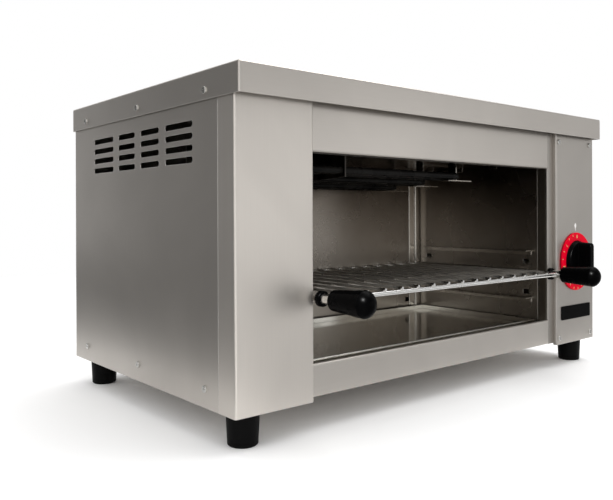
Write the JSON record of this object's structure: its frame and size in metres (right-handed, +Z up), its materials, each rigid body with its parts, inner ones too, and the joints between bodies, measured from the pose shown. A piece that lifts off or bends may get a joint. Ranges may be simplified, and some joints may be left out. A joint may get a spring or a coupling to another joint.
{
  "type": "cheese melter",
  "caption": "Counter-top cheese melter: open-fronted stainless grill cabinet with heating tubes under the top, a sliding wire rack with two handles, a crumb tray and a power dial.",
  "frame": {"origin": "middle of the whole object's outline, on the surface the feet stand on", "axes": "+X to the viewer's right along the front, +Y from the front into the cabinet, +Z up"},
  "size_m": [0.602, 0.4306, 0.3305],
  "materials": {
    "brushed_stainless": "brushed",
    "inner_stainless": "satin, heat-toned",
    "heater_sheath": "dark oxidised sheath",
    "plated_steel": "bright plated",
    "ceramic_bead": "matt",
    "chromed_wire": "polished",
    "black_plastic": "moulded satin",
    "foot_plastic": "moulded matt",
    "red_dial": "gloss, printed scale",
    "black_badge": "gloss, bare",
    "lead_insulation": "silicone sleeve"
  },
  "bodies": {
    "cabinet": {"back_panel": "brushed_stainless", "back_screws": "plated_steel", "badge_plate": "black_badge", "base_pan": "brushed_stainless", "bottom_rail": "brushed_stainless", "bus_bars": "plated_steel", "cable_gland": "black_plastic", "cavity_floor": "inner_stainless", "ceiling_reflector": "inner_stainless", "control_panel": "brushed_stainless", "corner_strip_left": "inner_stainless", "corner_strip_right": "inner_stainless", "element_bushes": "plated_steel", "element_comb": "inner_stainless", "element_insulators": "ceramic_bead", "element_pins": "plated_steel", "element_straps": "inner_stainless", "foot_back_left": "foot_plastic", "foot_back_right": "foot_plastic", "foot_bolts": "plated_steel", "foot_front_left": "foot_plastic", "foot_front_right": "foot_plastic", "gland_locknut": "black_plastic", "header_panel": "brushed_stainless", "heater_leads": "lead_insulation", "heating_element_front": "heater_sheath", "heating_element_middle": "heater_sheath", "heating_element_rear": "heater_sheath", "lead_clips": "black_plastic", "left_front_column": "brushed_stainless", "left_side_panel": "brushed_stainless", "lid_screws": "plated_steel", "liner_back_wall": "inner_stainless", "liner_left_wall": "inner_stainless", "liner_right_wall": "inner_stainless", "panel_brackets": "brushed_stainless", "panel_screws": "plated_steel", "rack_runners_left": "inner_stainless", "rack_runners_right": "inner_stainless", "regulator_body": "black_plastic", "regulator_nut": "plated_steel", "right_side_panel": "brushed_stainless", "right_stile": "brushed_stainless", "side_screws": "plated_steel", "supply_leads": "lead_insulation", "terminal_block": "black_plastic", "top_lid": "brushed_stainless"},
    "rack": {"rack_frame": "chromed_wire", "rack_front_bar": "chromed_wire", "rack_cross_wires": "chromed_wire", "handle_rod_left": "chromed_wire", "handle_rod_right": "chromed_wire", "handle_collar_left": "black_plastic", "handle_collar_right": "black_plastic", "handle_grip_left": "black_plastic", "handle_grip_right": "black_plastic"},
    "dial_knob": {"knob": "black_plastic", "dial_ring": "red_dial", "knob_spindle": "plated_steel"},
    "tray": {"crumb_tray": "inner_stainless"}
  },
  "joints": [
    {"name": "rack_slide", "type": "slide", "parent": "cabinet", "child": "rack", "axis": [0, -1, 0], "range_m": [0, 0.15]},
    {"name": "knob_turn", "type": "hinge", "parent": "cabinet", "child": "dial_knob", "pos_m": [0.25025, -0.14575, 0.1375], "axis": [0, 1, 0], "range_deg": [0, 300]},
    {"name": "tray_lift", "type": "slide", "parent": "cabinet", "child": "tray", "axis": [0, 0, 1], "range_m": [0, 0.02]}
  ]
}
